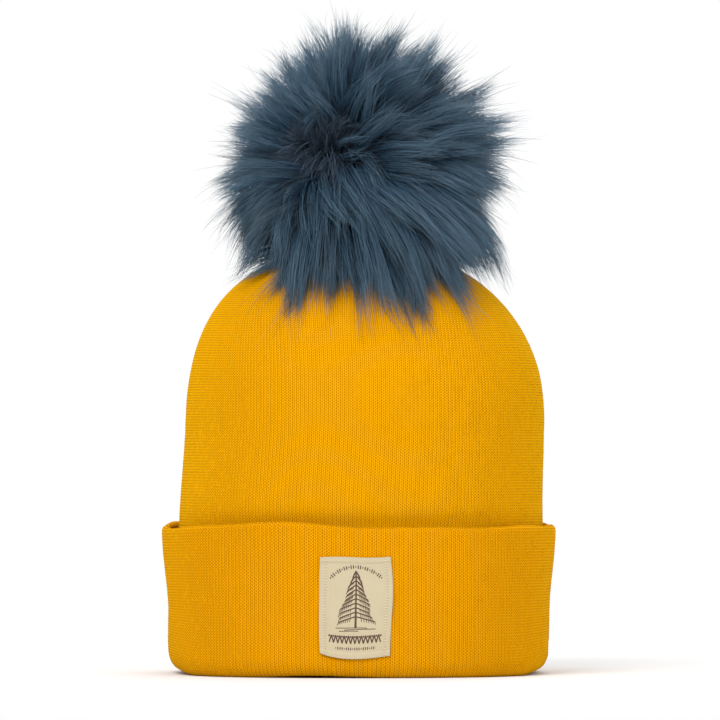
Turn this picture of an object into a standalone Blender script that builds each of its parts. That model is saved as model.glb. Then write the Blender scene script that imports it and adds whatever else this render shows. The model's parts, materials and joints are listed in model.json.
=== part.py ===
"""Double-layer knit beanie with a turned-up cuff, a sewn label and a faux-fur pompom on a snap.

The hat stands upright on its cuff, open as on a head: +Z up, the label at the front facing -Y,
the origin at the middle of the rim on the ground. Run with blender --background --python part.py.
"""

import math

import bmesh
import bpy
from mathutils import Matrix

MM = 0.001

# The body of the hat. Its horizontal section and its dome are both superellipses.
ROUNDNESS = 2.35
BODY_HALF_WIDTH = 87.5 * MM
BODY_HALF_DEPTH = 100.3 * MM
SHOULDER_Z = 118 * MM
DOME_RISE = 90 * MM
WALL_FLARE = 0.0286
WALL_MIDDLE_Z = 95 * MM
KNIT = 1.7 * MM
LINING_OFFSET = 4.0 * MM
LINING_KNIT = 1.5 * MM
CROWN_Z = SHOULDER_Z + DOME_RISE

# The turned-up cuff: two layers, folded over at the top hem and rolled under at the rim.
CUFF_TOP_Z = 72 * MM
CUFF_STANDOFF = 7.1 * MM
BACKING_OFFSET = 2.95 * MM
HEM_LEG_Z = 66 * MM
CUFF_MIDDLE_Z = 45 * MM
ROLL_START_Z = 17 * MM
ROLL_LEG_Z = 9 * MM
RIM_FLAT = 3.2 * MM
BACKING_ROLL_Z = 5.3 * MM
BODY_START_Z = ROLL_LEG_Z + 0.3 * MM

# The press stud on the crown, stacked upwards through the shell.
GAP = 0.3 * MM
POST_HOLE_R = 2.9 * MM
POST_R = 2.4 * MM
POST_BORE_R = 1.7 * MM
FELT_R = 16 * MM
FELT = 0.8 * MM
FLANGE_R = 6.5 * MM
METAL = 0.6 * MM
SOCKET_R = 7.2 * MM
SOCKET_EDGE = 0.4 * MM
SOCKET_Z = CROWN_Z + GAP
SOCKET_HEIGHT = 4.2 * MM
LIP_R = 4.3 * MM
RING_WIRE_R = 0.6 * MM
RING_R = 4.0 * MM
RING_Z = SOCKET_Z + 2.8 * MM
BULB_R = 3.9 * MM
NECK_R = 3.1 * MM
STUD_FLANGE_R = 7 * MM
STUD_FOOT_Z = SOCKET_Z + 1.3 * MM
CAP_R = 6 * MM
STUD_Z = SOCKET_Z + SOCKET_HEIGHT + GAP
DISC_R = 11 * MM
DISC = 1.2 * MM
DISC_Z = STUD_Z + METAL + GAP
CAP_Z = DISC_Z + DISC + GAP

# The pompom: a stuffed ball of fur fabric, gathered shut above the stud. It leans about NECK_Z.
BALL_Z = 246 * MM
STUFFING_R = 26.5 * MM
STUFFING_FLOOR_Z = 220.5 * MM
BACKING_R = 29.6 * MM
BACKING = 2.2 * MM
GATHER_R = 11 * MM
THREAD_R = 0.5 * MM
PILE_INNER_R = 31 * MM
PILE_R = 72 * MM
PILE_MOUTH_R = 14.5 * MM
PILE_HEM_Z = 209.5 * MM
NECK_Z = 214.6 * MM

# The labels.
LABEL_CENTRE_X = -2.2 * MM
LABEL_WIDTH = 33.4 * MM
LABEL_BOTTOM_Z = 8.3 * MM
LABEL_TOP_Z = 56.8 * MM
LABEL = 0.6 * MM
STITCH_INSET = 2.6 * MM
STITCH_WIDTH = 0.6 * MM
STITCH_RISE = 0.4 * MM
CARE_HALF_WIDTH = 11 * MM
CARE_TOP_Z = 56 * MM
CARE_HEIGHT = 32 * MM
CARE = 0.6 * MM
CARE_STITCH = 1 * MM
CARE_CLEARANCE = 0.5 * MM

SIDES_AROUND = 32
SIDES_SMALL = 24
DOME_STEPS = 8
DART_START = 27
DART_END = 76
DART_STEPS = 8
DART_SEAM_R = 0.65 * MM


def clear_scene():
    for old in list(bpy.data.objects):
        bpy.data.objects.remove(old, do_unlink=True)


def material(name, colour, roughness, metallic=0.0):
    made = bpy.data.materials.new(name)
    made.use_nodes = True
    shader = made.node_tree.nodes["Principled BSDF"]
    shader.inputs["Base Color"].default_value = (*colour, 1.0)
    shader.inputs["Roughness"].default_value = roughness
    shader.inputs["Metallic"].default_value = metallic
    return made


def yarn():
    return material("mustard_yarn", (0.87, 0.39, 0.006), 0.9)


def seam_thread():
    return material("seam_thread", (0.72, 0.3, 0.005), 0.8)


def label_cloth():
    return material("cream_cotton", (0.73, 0.61, 0.42), 0.85)


def cream_thread():
    return material("cream_thread", (0.8, 0.72, 0.58), 0.7)


def steel():
    return material("nickel_steel", (0.62, 0.61, 0.58), 0.3, 1.0)


def felt():
    return material("felt", (0.12, 0.12, 0.13), 0.95)


def disc_plastic():
    return material("disc_plastic", (0.05, 0.055, 0.065), 0.5)


def stuffing_fibre():
    return material("polyester_fibre", (0.82, 0.82, 0.8), 0.95)


def fur_fabric():
    return material("fur_fabric", (0.03, 0.04, 0.055), 0.9)


def fur_hair():
    return material("fur_hair", (0.05, 0.1, 0.16), 0.6)


# ---- outlines and loops ------------------------------------------------------------------


def circle_loop(radius, z, sides=SIDES_SMALL):
    """A level circle, or one point where the radius is nothing."""
    if radius == 0:
        return [(0.0, 0.0, z)]
    turn = 2 * math.pi / sides
    return [(radius * math.cos(i * turn), radius * math.sin(i * turn), z) for i in range(sides)]


def section_loop(half_width, half_depth, z):
    """The hat's level section: a superellipse, by polar angle."""
    if half_width == 0:
        return [(0.0, 0.0, z)]
    loop = []
    for i in range(SIDES_AROUND):
        turn = 2 * math.pi * i / SIDES_AROUND
        across = abs(math.cos(turn) / half_width) ** ROUNDNESS
        along = abs(math.sin(turn) / half_depth) ** ROUNDNESS
        radius = (across + along) ** (-1 / ROUNDNESS)
        loop.append((radius * math.cos(turn), radius * math.sin(turn), z))
    return loop


def wall_sizes(z, offset):
    """Half width and half depth of the body's wall, this far inside its outer face."""
    flare = WALL_FLARE * (SHOULDER_Z - max(z, CUFF_TOP_Z)) - offset
    return BODY_HALF_WIDTH + flare, BODY_HALF_DEPTH + flare


def wall_loop(z, offset):
    return section_loop(*wall_sizes(z, offset), z)


def dome_curve(degrees):
    """How far out and how far up the dome's profile is, each from 0 to 1."""
    angle = math.radians(degrees)
    radius = (math.cos(angle) ** ROUNDNESS + math.sin(angle) ** ROUNDNESS) ** (-1 / ROUNDNESS)
    return radius * math.cos(angle), radius * math.sin(angle)


def dome_loop(degrees, offset):
    out, up = dome_curve(degrees)
    half_width = (BODY_HALF_WIDTH - offset) * out
    half_depth = (BODY_HALF_DEPTH - offset) * out
    return section_loop(half_width, half_depth, SHOULDER_Z + (DOME_RISE - offset) * up)


def crown_height(x, y, offset):
    """Height of the dome above a point on the ground, this far inside its outer face."""
    across = abs(x / (BODY_HALF_WIDTH - offset)) ** ROUNDNESS
    along = abs(y / (BODY_HALF_DEPTH - offset)) ** ROUNDNESS
    rest = max(1 - across - along, 0) ** (1 / ROUNDNESS)
    return SHOULDER_Z + (DOME_RISE - offset) * rest


def crown_loop(radius, offset, sides=SIDES_SMALL):
    """A circle draped over the dome."""
    return [(x, y, crown_height(x, y, offset)) for x, y, _ in circle_loop(radius, 0, sides)]


def body_loops(offset, hole_radius):
    """The body's surface from its lower edge to the crown, ending at a hole or at a point."""
    heights = (BODY_START_Z, CUFF_MIDDLE_Z, CUFF_TOP_Z, WALL_MIDDLE_Z)
    loops = [wall_loop(z, offset) for z in heights]
    loops += [dome_loop(90 * i / DOME_STEPS, offset) for i in range(DOME_STEPS)]
    if hole_radius:
        loops.append(crown_loop(hole_radius, offset, SIDES_AROUND))
    else:
        loops.append([(0.0, 0.0, CROWN_Z - offset)])
    return loops


def ball_loops(radius, mouth_radius, steps):
    """A ball's surface from its mouth at the bottom, a circle, up to its top point."""
    start = math.asin(mouth_radius / radius)
    loops = []
    for i in range(steps):
        angle = start + (math.pi - start) * i / steps
        loops.append(circle_loop(radius * math.sin(angle), BALL_Z - radius * math.cos(angle)))
    loops.append([(0.0, 0.0, BALL_Z + radius)])
    return loops


def cuff_loop(offset, z):
    """The cuff's section, this far inside its outer face."""
    half_width, half_depth = wall_sizes(CUFF_TOP_Z, offset - CUFF_STANDOFF)
    return section_loop(half_width, half_depth, z)


def arc(centre, radii, start, end, steps):
    """Points along part of an ellipse, with angles in degrees from the +x direction."""
    points = []
    for i in range(steps + 1):
        angle = math.radians(start + (end - start) * i / steps)
        across = radii[0] * math.cos(angle)
        up = radii[1] * math.sin(angle)
        points.append((centre[0] + across, centre[1] + up))
    return points


def strip(path, thickness):
    """The closed outline of a strip of this thickness that follows a path."""
    left = []
    right = []
    for i, (x, z) in enumerate(path):
        before = path[max(i - 1, 0)]
        after = path[min(i + 1, len(path) - 1)]
        run = math.hypot(after[0] - before[0], after[1] - before[1])
        aside = (-(after[1] - before[1]) / run, (after[0] - before[0]) / run)
        left.append((x + aside[0] * thickness / 2, z + aside[1] * thickness / 2))
        right.append((x - aside[0] * thickness / 2, z - aside[1] * thickness / 2))
    return left + right[::-1]


# ---- meshes ------------------------------------------------------------------------------


def add_object(name, mesh, made_of):
    item = bpy.data.objects.new(name, mesh)
    item.data.materials.append(made_of)
    bpy.context.scene.collection.objects.link(item)
    return item


def loft(name, loops, made_of):
    """One closed body through these loops, joined end to end unless both ends are points."""
    shape = bmesh.new()
    rows = [[shape.verts.new(point) for point in loop] for loop in loops]
    pairs = list(zip(rows, rows[1:]))
    if len(rows[0]) > 1:
        pairs.append((rows[-1], rows[0]))
    for low, high in pairs:
        count = max(len(low), len(high))
        for i in range(count):
            j = (i + 1) % count
            corners = [low[i % len(low)], low[j % len(low)]]
            corners += [high[j % len(high)], high[i % len(high)]]
            shape.faces.new(list(dict.fromkeys(corners)))
    bmesh.ops.recalc_face_normals(shape, faces=shape.faces)
    mesh = bpy.data.meshes.new(name)
    shape.to_mesh(mesh)
    shape.free()
    mesh.shade_smooth()
    mesh.set_sharp_from_angle(angle=math.radians(40))
    return add_object(name, mesh, made_of)


def turned(name, outline, made_of, sides=SIDES_SMALL):
    """A round piece from an outline of radius and height."""
    return loft(name, [circle_loop(radius, z, sides) for radius, z in outline], made_of)


def ring(name, radius, z, wire_radius, made_of):
    return turned(name, arc((radius, z), (wire_radius, wire_radius), 0, 300, 5), made_of)


def slab(name, columns, made_of):
    """A closed sheet from columns of (outer point, inner point) pairs."""
    shape = bmesh.new()
    rows = []
    for column in columns:
        outer = [shape.verts.new(pair[0]) for pair in column]
        inner = [shape.verts.new(pair[1]) for pair in column]
        rows.append(outer + inner[::-1])
    for left, right in zip(rows, rows[1:]):
        for i in range(len(left)):
            j = (i + 1) % len(left)
            shape.faces.new((left[i], left[j], right[j], right[i]))
    for row in (rows[0], rows[-1]):
        half = len(row) // 2
        for i in range(half - 1):
            shape.faces.new((row[i], row[i + 1], row[-2 - i], row[-1 - i]))
    bmesh.ops.recalc_face_normals(shape, faces=shape.faces)
    mesh = bpy.data.meshes.new(name)
    shape.to_mesh(mesh)
    shape.free()
    return add_object(name, mesh, made_of)


def thread(name, points, radius, made_of):
    """A round thread along these points."""
    curve = bpy.data.curves.new(name, "CURVE")
    curve.dimensions = "3D"
    curve.bevel_depth = radius
    curve.bevel_resolution = 1
    curve.use_fill_caps = True
    spline = curve.splines.new("POLY")
    spline.points.add(len(points) - 1)
    for point, place in zip(spline.points, points):
        point.co = (*place, 1.0)
    return add_object(name, curve, made_of)


# ---- the hat -----------------------------------------------------------------------------


def make_outer_shell():
    loops = body_loops(0, POST_HOLE_R) + body_loops(KNIT, POST_HOLE_R)[::-1]
    loft("outer_shell", loops, yarn())


def make_lining():
    outside = body_loops(LINING_OFFSET, 0)
    inside = body_loops(LINING_OFFSET + LINING_KNIT, 0)
    loft("lining", outside[::-1] + inside, yarn())


def make_dart_seams():
    """Four gathered darts in each layer, sewn between the layers; the two sets alternate."""
    middle = (KNIT + LINING_OFFSET) / 2
    step = (DART_END - DART_START) / DART_STEPS
    quarter = SIDES_AROUND // 4
    sides = ("right", "back", "left", "front")
    corners = ("back_right", "back_left", "front_left", "front_right")
    seams = [("shell_dart_seam_" + side, quarter * i) for i, side in enumerate(sides)]
    half = quarter // 2
    seams += [("lining_dart_seam_" + corner, quarter * i + half) for i, corner in enumerate(corners)]
    for name, spot in seams:
        climb = [DART_START + step * i for i in range(DART_STEPS + 1)]
        points = [dome_loop(degrees, middle)[spot] for degrees in climb]
        thread(name, points, DART_SEAM_R, seam_thread())


def roll_path(wall, leg, bottom_z, flat):
    """A layer's path round the rim: down the cuff's wall, under, and up to meet the body."""
    middle = (wall + leg) / 2
    across = (leg - wall - flat) / 2
    start = (middle - flat / 2, ROLL_START_Z)
    path = arc(start, (across, ROLL_START_Z - bottom_z), 180, 270, 4)
    path += [(middle - flat / 4, bottom_z), (middle + flat / 4, bottom_z)]
    path += arc((middle + flat / 2, bottom_z + across), (across, across), 270, 360, 3)
    path.append((leg, ROLL_LEG_Z))
    return path


def make_cuff():
    """The face layer carries the hem's fold and the roll it stands on; the backing lies behind it."""
    wall = KNIT / 2
    hem_radius = (BACKING_OFFSET - wall) / 2
    hem = arc((wall + hem_radius, CUFF_TOP_Z - KNIT), (hem_radius, hem_radius), 0, 180, 4)
    lining_leg = CUFF_STANDOFF + LINING_OFFSET + LINING_KNIT / 2
    face = [(BACKING_OFFSET, HEM_LEG_Z)] + hem + [(wall, CUFF_MIDDLE_Z)]
    face += roll_path(wall, lining_leg, wall, RIM_FLAT)
    loft("cuff_face", [cuff_loop(*point) for point in strip(face, KNIT)], yarn())
    shell_leg = CUFF_STANDOFF + KNIT / 2
    backing = [(BACKING_OFFSET, HEM_LEG_Z - GAP), (BACKING_OFFSET, CUFF_MIDDLE_Z)]
    backing += roll_path(BACKING_OFFSET, shell_leg, BACKING_ROLL_Z, 0.6 * MM)
    loft("cuff_backing", [cuff_loop(*point) for point in strip(backing, KNIT)], yarn())


def cuff_front(x, z, lift):
    """A point on the front of the cuff, lifted off it."""
    half_width, half_depth = wall_sizes(CUFF_TOP_Z, -CUFF_STANDOFF - lift)
    inwards = 0.0
    if z < ROLL_START_Z:
        across = (CUFF_STANDOFF + LINING_OFFSET + LINING_KNIT / 2 - RIM_FLAT) / 2
        down = (ROLL_START_Z - z) / ROLL_START_Z
        inwards = across * (1 - math.sqrt(1 - down**2))
    rest = (1 - abs(x / half_width) ** ROUNDNESS) ** (1 / ROUNDNESS)
    return (x, -(half_depth * rest - inwards), z)


def make_label():
    """The front label and the two rows of stitches that hold its sides."""
    left = LABEL_CENTRE_X - LABEL_WIDTH / 2
    heights = [LABEL_BOTTOM_Z + (LABEL_TOP_Z - LABEL_BOTTOM_Z) * i / 6 for i in range(7)]
    lift = GAP + LABEL
    columns = []
    for i in range(9):
        x = left + LABEL_WIDTH * i / 8
        columns.append([(cuff_front(x, z, lift), cuff_front(x, z, GAP)) for z in heights])
    slab("front_label", columns, label_cloth())
    sides = (("left", left + STITCH_INSET), ("right", left + LABEL_WIDTH - STITCH_INSET))
    stitched = [z + (1 - 2 * z / heights[-1]) * MM for z in heights]
    low = lift + GAP
    for side, middle in sides:
        columns = []
        for x in (middle - STITCH_WIDTH / 2, middle + STITCH_WIDTH / 2):
            pairs = [(cuff_front(x, z, low + STITCH_RISE), cuff_front(x, z, low)) for z in stitched]
            columns.append(pairs)
        slab("label_thread_" + side, columns, cream_thread())


def care_back():
    """How far back the care label's outer face lies: just clear of the lining at its sides."""
    half_width, half_depth = wall_sizes(CARE_TOP_Z, LINING_OFFSET + LINING_KNIT)
    rest = (1 - (CARE_HALF_WIDTH / half_width) ** ROUNDNESS) ** (1 / ROUNDNESS)
    return half_depth * rest - CARE_CLEARANCE


def make_care_label():
    """A small folded label inside the back, hanging from a row of stitches at its top edge."""
    back = care_back()
    columns = []
    for x in (-CARE_HALF_WIDTH, CARE_HALF_WIDTH):
        edge = [(x, CARE_TOP_Z), (x, CARE_TOP_Z - CARE_HEIGHT)]
        columns.append([((x, back, z), (x, back - CARE, z)) for x, z in edge])
    slab("care_label", columns, label_cloth())
    columns = []
    inset = CARE_HALF_WIDTH - CARE_STITCH
    low = CARE_TOP_Z + 2 * GAP
    for x in (-inset, inset):
        bar = (low, low + CARE_STITCH)
        columns.append([((x, back + 0.2 * MM, z), (x, back - CARE, z)) for z in bar])
    slab("care_label_thread", columns, cream_thread())


# ---- the press stud on the crown ---------------------------------------------------------


def make_crown_reinforcement():
    """A felt disc under the shell that spreads the pull of the press stud."""
    top = KNIT + GAP
    loops = [crown_loop(radius, top) for radius in (POST_HOLE_R, FELT_R / 2, FELT_R)]
    loops += [crown_loop(radius, top + FELT) for radius in (FELT_R, FELT_R / 2, POST_HOLE_R)]
    loft("crown_reinforcement", loops, felt())


def make_snap_post():
    """The tubular rivet: its flange lies under the felt and its tube comes up into the socket."""
    top = CROWN_Z - KNIT - GAP - FELT - GAP
    end = SOCKET_Z + METAL + 0.4 * MM
    outline = [(POST_BORE_R, top - METAL), (FLANGE_R, top - METAL), (FLANGE_R, top)]
    outline += [(POST_R, top), (POST_R, end), (POST_BORE_R, end)]
    turned("snap_post", outline, steel())


def make_snap_socket():
    """A cup with a turned-in lip, which keeps the spring ring in."""
    top = SOCKET_Z + SOCKET_HEIGHT
    inside = SOCKET_R - METAL
    outline = [(POST_HOLE_R, SOCKET_Z), (SOCKET_R - SOCKET_EDGE, SOCKET_Z)]
    outline += [(SOCKET_R, SOCKET_Z + SOCKET_EDGE), (SOCKET_R, top - METAL), (inside, top)]
    outline += [(LIP_R, top), (LIP_R, top - 0.5 * MM), (inside, top - 0.8 * MM)]
    outline += [(inside, SOCKET_Z + METAL), (POST_HOLE_R, SOCKET_Z + METAL)]
    turned("snap_socket", outline, steel())


def make_snap_stud():
    """The pressed stud: a hollow bulb on a neck under a flange."""
    foot = STUD_FOOT_Z
    bore = NECK_R - 0.4 * MM
    top = STUD_Z + METAL
    outline = [(0, foot), (BULB_R - MM, foot), (BULB_R, foot + 0.5 * MM), (NECK_R, foot + MM)]
    outline += [(NECK_R, STUD_Z), (STUD_FLANGE_R, STUD_Z), (STUD_FLANGE_R, top)]
    outline += [(bore, top), (bore, foot + METAL), (0, foot + METAL)]
    turned("snap_stud", outline, steel())


def make_snap_stud_cap():
    """The rivet that holds the stud to the disc from above."""
    outline = [(POST_BORE_R, CAP_Z + METAL), (CAP_R, CAP_Z + METAL), (CAP_R, CAP_Z)]
    outline += [(POST_R, CAP_Z), (POST_R, STUD_Z - MM), (POST_BORE_R, STUD_Z - MM)]
    turned("snap_stud_cap", outline, steel())


def make_base_disc():
    """The stiff disc in the pompom's neck that the stud is riveted to."""
    top = DISC_Z + DISC
    outline = [(POST_R + GAP, DISC_Z), (DISC_R - GAP, DISC_Z), (DISC_R, DISC_Z + GAP)]
    outline += [(DISC_R, top - GAP), (DISC_R - GAP, top), (POST_R + GAP, top)]
    turned("pompom_base_disc", outline, disc_plastic())


def make_press_stud():
    make_crown_reinforcement()
    make_snap_post()
    make_snap_socket()
    ring("snap_ring", RING_R, RING_Z, RING_WIRE_R, steel())
    make_snap_stud()
    make_base_disc()
    make_snap_stud_cap()


# ---- the pompom --------------------------------------------------------------------------


def make_stuffing():
    floor_radius = math.sqrt(STUFFING_R**2 - (BALL_Z - STUFFING_FLOOR_Z) ** 2)
    loops = [[(0.0, 0.0, STUFFING_FLOOR_Z)]] + ball_loops(STUFFING_R, floor_radius, 9)
    loft("pompom_stuffing", loops, stuffing_fibre())


def make_fur_backing():
    inner = BACKING_R - BACKING
    loops = ball_loops(BACKING_R, GATHER_R, 9)[::-1] + ball_loops(inner, GATHER_R * inner / BACKING_R, 9)
    loft("fur_backing", loops, fur_fabric())


def make_gathering_thread():
    edge_z = BALL_Z - math.sqrt(BACKING_R**2 - GATHER_R**2)
    ring("gathering_thread", GATHER_R + 1.1 * MM, edge_z - 0.6 * MM, THREAD_R, seam_thread())


def make_fur_pile():
    """The outer shape of the hair: a ball cut off by a shallow cone that clears the crown."""
    hem_radius = math.sqrt(PILE_R**2 - (BALL_Z - PILE_HEM_Z) ** 2)
    loops = ball_loops(PILE_R, hem_radius, 10)[::-1] + ball_loops(PILE_INNER_R, PILE_MOUTH_R, 8)
    loft("fur_pile", loops, fur_hair())


def make_pompom():
    make_stuffing()
    make_fur_backing()
    make_gathering_thread()
    make_fur_pile()


# ---- joints ------------------------------------------------------------------------------


def hang(name, place, parent, pieces):
    """An empty on a joint's axis, which carries the pieces that the joint moves."""
    empty = bpy.data.objects.new(name, None)
    empty.empty_display_size = 10 * MM
    bpy.context.scene.collection.objects.link(empty)
    empty.location = place
    if parent:
        empty.parent = parent
        empty.matrix_parent_inverse = Matrix.Translation(parent.matrix_world.translation).inverted()
    bpy.context.view_layer.update()
    for piece in pieces:
        item = bpy.data.objects[piece]
        item.parent = empty
        item.matrix_parent_inverse = empty.matrix_world.inverted()
    return empty


def hang_on_joints():
    """The ring spins, the stud pulls out of it, and the ball leans on the stud."""
    spin = hang("pompom_spin_axis", (0, 0, RING_Z), None, ["snap_ring"])
    stud = ["snap_stud", "snap_stud_cap", "pompom_base_disc"]
    pull = hang("pompom_pull_off_axis", (0, 0, RING_Z), spin, stud)
    ball = ["fur_backing", "pompom_stuffing", "gathering_thread", "fur_pile"]
    hang("pompom_lean_axis", (0, 0, NECK_Z), pull, ball)
    hang("care_label_flap_axis", (0, care_back() - CARE / 2, CARE_TOP_Z), None, ["care_label"])


def main():
    clear_scene()
    make_outer_shell()
    make_lining()
    make_dart_seams()
    make_cuff()
    make_label()
    make_care_label()
    make_press_stud()
    make_pompom()
    hang_on_joints()


main()
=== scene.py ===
"""The looks of a knit beanie: stitched knit layers, a sewn label and a long-haired pompom.

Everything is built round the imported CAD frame, in metres, with +Z up and the front facing -Y.
"""

import json
import math

import bpy
import numpy as np
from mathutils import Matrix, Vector

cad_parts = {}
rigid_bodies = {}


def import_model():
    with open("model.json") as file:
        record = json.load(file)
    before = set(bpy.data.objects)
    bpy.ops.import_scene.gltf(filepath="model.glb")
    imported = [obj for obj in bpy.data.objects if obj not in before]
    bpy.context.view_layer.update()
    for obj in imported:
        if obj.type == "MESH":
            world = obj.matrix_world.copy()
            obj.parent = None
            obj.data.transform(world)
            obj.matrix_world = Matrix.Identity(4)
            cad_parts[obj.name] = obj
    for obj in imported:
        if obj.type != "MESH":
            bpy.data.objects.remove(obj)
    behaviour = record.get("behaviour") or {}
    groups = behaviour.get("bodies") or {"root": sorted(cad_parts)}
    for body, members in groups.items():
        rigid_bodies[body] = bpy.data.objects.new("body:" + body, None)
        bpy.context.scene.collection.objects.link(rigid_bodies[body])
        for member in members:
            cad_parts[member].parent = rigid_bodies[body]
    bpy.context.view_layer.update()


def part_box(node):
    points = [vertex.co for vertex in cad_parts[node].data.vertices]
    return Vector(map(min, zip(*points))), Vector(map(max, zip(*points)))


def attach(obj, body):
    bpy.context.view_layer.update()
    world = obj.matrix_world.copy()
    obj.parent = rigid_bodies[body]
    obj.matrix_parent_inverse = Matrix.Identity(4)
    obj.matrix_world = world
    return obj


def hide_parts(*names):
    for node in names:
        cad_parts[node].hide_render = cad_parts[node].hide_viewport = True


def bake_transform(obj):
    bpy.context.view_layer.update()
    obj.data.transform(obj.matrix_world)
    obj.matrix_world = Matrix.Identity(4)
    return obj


for old in list(bpy.data.objects):
    bpy.data.objects.remove(old, do_unlink=True)
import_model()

MM = 0.001
SEED = 610

# ---- places and sizes, from the frame ----------------------------------------------------

ROUNDNESS = 2.35
_, SHELL_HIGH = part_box("outer_shell")
_, CUFF_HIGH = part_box("cuff_face")
LABEL_LOW, LABEL_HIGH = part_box("front_label")
CARE_LOW, CARE_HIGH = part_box("care_label")
CARE_SEAM_LOW, CARE_SEAM_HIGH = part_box("care_label_thread")
_, BACKING_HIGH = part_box("cuff_backing")
SEAM_LOW, SEAM_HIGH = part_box("shell_dart_seam_front")
_, FELT_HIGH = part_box("crown_reinforcement")
BALL_LOW, BALL_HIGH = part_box("fur_backing")
STUFFING_LOW, STUFFING_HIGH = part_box("pompom_stuffing")
GATHER_LOW, GATHER_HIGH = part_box("gathering_thread")
DISC_LOW, DISC_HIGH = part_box("pompom_base_disc")

SHOULDER_Z = 118 * MM
WALL_FLARE = 0.0286
CROWN_Z = SHELL_HIGH.z
CUFF_TOP_Z = CUFF_HIGH.z
BODY_FLARE = WALL_FLARE * (SHOULDER_Z - CUFF_TOP_Z)
BODY_HALF_WIDTH = SHELL_HIGH.x - BODY_FLARE
BODY_HALF_DEPTH = SHELL_HIGH.y - BODY_FLARE
DOME_RISE = CROWN_Z - SHOULDER_Z
CROWN_HOLE_R = 2.9 * MM
CUFF_HALF_WIDTH = CUFF_HIGH.x
CUFF_HALF_DEPTH = CUFF_HIGH.y
KNIT = 1.7 * MM
LINING_OFFSET = 4.0 * MM
LINING_KNIT = 1.5 * MM

BALL_R = (BALL_HIGH.x - BALL_LOW.x) / 2
BALL_CENTRE = np.array((0.0, 0.0, BALL_HIGH.z - BALL_R))


# ---- node materials ----------------------------------------------------------------------

STREAKS = 0.12
STREAK_SLOWNESS = 0.12


class Shader:
    """A new Principled material and the few node steps that the finishes share."""

    def __init__(self, name, roughness, metallic=0.0):
        self.made = bpy.data.materials.new(name)
        self.made.use_nodes = True
        self.tree = self.made.node_tree
        self.surface = self.tree.nodes["Principled BSDF"]
        self.put("Roughness", roughness)
        self.put("Metallic", metallic)

    def feed(self, socket, value):
        """Gives an input a number, a colour or another node's output."""
        if isinstance(value, bpy.types.NodeSocket):
            self.tree.links.new(value, socket)
        else:
            socket.default_value = (*value, 1.0) if isinstance(value, tuple) else value

    def put(self, socket, value):
        """Feeds this input of the surface."""
        self.feed(self.surface.inputs[socket], value)

    def node(self, kind, *values, **settings):
        """A new node with these settings, whose first inputs are fed these values."""
        node = self.tree.nodes.new("ShaderNode" + kind)
        for setting, value in settings.items():
            setattr(node, setting, value)
        for socket, value in zip(node.inputs, values):
            self.feed(socket, value)
        return node

    def maths(self, operation, *values):
        return self.node("Math", *values, operation=operation).outputs[0]

    def parts(self, vector):
        """The x, y and z of a vector."""
        return self.node("SeparateXYZ", vector).outputs[:]

    def attribute(self, name):
        """The three numbers that a mesh stores at each point under this name."""
        return self.parts(self.node("Attribute", attribute_name=name).outputs["Vector"])

    def place(self):
        return self.node("TexCoord").outputs["Object"]

    def noise(self, scale, detail, stretch=(1, 1, 1), where=None):
        mapping = self.node("Mapping", where or self.place())
        mapping.inputs["Scale"].default_value = stretch
        node = self.node("TexNoise", mapping.outputs[0])
        node.inputs["Scale"].default_value = scale
        node.inputs["Detail"].default_value = detail
        return node.outputs["Fac"]

    def mix(self, amount, low, high):
        """The colour low where amount is 0, and high where it is 1."""
        node = self.node("Mix", data_type="RGBA")
        for number, value in ((0, amount), (6, low), (7, high)):
            self.feed(node.inputs[number], value)
        return node.outputs[2]

    def mottle(self, amount, dark, colour):
        """Makes the surface this colour, and only a dark share of it where amount is 0."""
        self.put("Base Color", self.mix(amount, tuple(dark * part for part in colour), colour))

    def shade(self, colour, amount):
        """Makes the surface this colour times a number."""
        node = self.node("VectorMath", colour, operation="SCALE")
        self.feed(node.inputs["Scale"], amount)
        self.put("Base Color", node.outputs[0])

    def range(self, value, low, high):
        """Takes low..high to 0..1, clamped."""
        return self.node("MapRange", value, low, high).outputs[0]

    def bump(self, height, strength, distance):
        node = self.node("Bump", strength, distance)
        self.feed(node.inputs["Height"], height)
        self.put("Normal", node.outputs[0])

    def grain(self, height, dark, colour, strength, distance):
        """Colours and raises the surface by the same noise."""
        self.mottle(height, dark, colour)
        self.bump(height, strength, distance)


def stitch_height(shader, wale, course):
    """The V of each knit stitch: 1 along its two legs, 0 between them."""
    across = shader.maths("ABSOLUTE", shader.maths("SUBTRACT", shader.maths("FRACT", wale), 0.5))
    leg = shader.maths("MULTIPLY_ADD", shader.maths("FRACT", course), LEG_SPREAD, LEG_START)
    away = shader.maths("DIVIDE", shader.maths("SUBTRACT", across, leg), LEG_WIDTH)
    height = shader.maths("SUBTRACT", 1.0, shader.maths("MULTIPLY", away, away))
    return shader.maths("MAXIMUM", height, 0.0)


def yarn_material(name, tops, shaded_gaps):
    """Knitted yarn: bright stitches, deep orange gaps that are painted shade between them, and slow
    streaks along the wales.
    """
    shader = Shader(name, 0.85)
    wale, course, _ = shader.attribute("stitch")
    height = stitch_height(shader, wale, course)
    line = shader.node("CombineXYZ", wale, shader.maths("MULTIPLY", course, STREAK_SLOWNESS))
    streak = shader.noise(0.45, 2, where=line.outputs[0])
    fibre = shader.noise(2600, 2)
    # The gaps between the stitch legs are painted darker, as shade in the recesses.
    stitched = shader.mix(shader.range(height, -0.25, 0.75), shaded_gaps, tops)
    shade = shader.maths("MULTIPLY_ADD", streak, STREAKS, 1 - STREAKS / 2)
    shade = shader.maths("MULTIPLY", shade, shader.maths("MULTIPLY_ADD", fibre, 0.3, 0.85))
    shader.shade(stitched, shade)
    shader.bump(shader.maths("MULTIPLY_ADD", fibre, 0.35, height), 0.5, 0.25 * MM)
    shader.put("Sheen Weight", 0.13)
    shader.put("Sheen Roughness", 0.5)
    shader.put("Sheen Tint", (0.5, 0.75, 0.0))
    shader.put("Specular IOR Level", 0.04)
    return shader.made


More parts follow.
